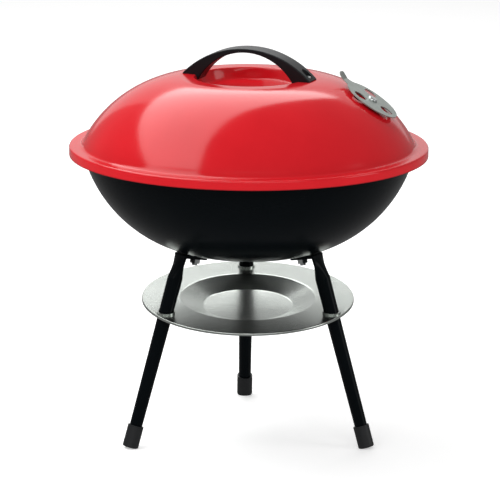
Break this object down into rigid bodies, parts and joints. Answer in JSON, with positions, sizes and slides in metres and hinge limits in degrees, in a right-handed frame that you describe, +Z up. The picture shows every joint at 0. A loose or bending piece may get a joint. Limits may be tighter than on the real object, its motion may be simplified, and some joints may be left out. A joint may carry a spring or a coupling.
{
  "type": "portable kettle charcoal grill",
  "caption": "Low round kettle charcoal grill: domed lid with turning damper and arch handle, deep bowl, lift-out grates, splayed tube legs and an ash pan.",
  "frame": {"origin": "on the kettle's axis at ground level, under the middle of the bowl", "axes": "+Z up along the kettle's axis, -Y is the front, +X is the right-hand side seen from the front"},
  "size_m": [0.366, 0.366, 0.4015],
  "materials": {
    "red_enamel": "gloss porcelain enamel",
    "black_enamel": "gloss porcelain enamel",
    "black_leg_enamel": "gloss enamel",
    "black_nylon": "moulded, satin",
    "black_foot_plastic": "moulded",
    "damper_steel": "stamped, satin",
    "plated_steel": "zinc plated",
    "pan_aluminium": "spun, satin",
    "grate_chrome": "nickel-chrome plated wire",
    "grate_steel": "plain wire"
  },
  "bodies": {
    "stand": {"bowl": "black_enamel", "leg_left": "black_leg_enamel", "leg_right": "black_leg_enamel", "leg_rear": "black_leg_enamel", "foot_left": "black_foot_plastic", "foot_right": "black_foot_plastic", "foot_rear": "black_foot_plastic", "ash_pan": "pan_aluminium", "leg_bolts": "plated_steel", "leg_washers": "plated_steel", "leg_nuts": "plated_steel", "grate_brackets": "black_enamel"},
    "charcoal_grate": {"charcoal_grate": "grate_steel"},
    "cooking_grate": {"cooking_grate": "grate_chrome"},
    "lid": {"lid": "red_enamel", "lid_handle": "black_nylon", "handle_screws": "plated_steel", "handle_washers": "plated_steel", "handle_nuts": "plated_steel", "damper_rivet": "plated_steel", "damper_washer": "plated_steel"},
    "damper": {"damper_disc": "damper_steel"}
  },
  "joints": [
    {"name": "charcoal_grate_lift", "type": "slide", "parent": "stand", "child": "charcoal_grate", "axis": [0, 0, 1], "range_m": [0, 0.1]},
    {"name": "cooking_grate_lift", "type": "slide", "parent": "charcoal_grate", "child": "cooking_grate", "axis": [0, 0, 1], "range_m": [0, 0.08]},
    {"name": "lid_lift", "type": "slide", "parent": "cooking_grate", "child": "lid", "axis": [0, 0, 1], "range_m": [0, 0.15]},
    {"name": "damper_turn", "type": "hinge", "parent": "lid", "child": "damper", "pos_m": [0.12325, -0.0262, 0.3516], "axis": [0.536, -0.1139, 0.8365], "continuous": true}
  ]
}
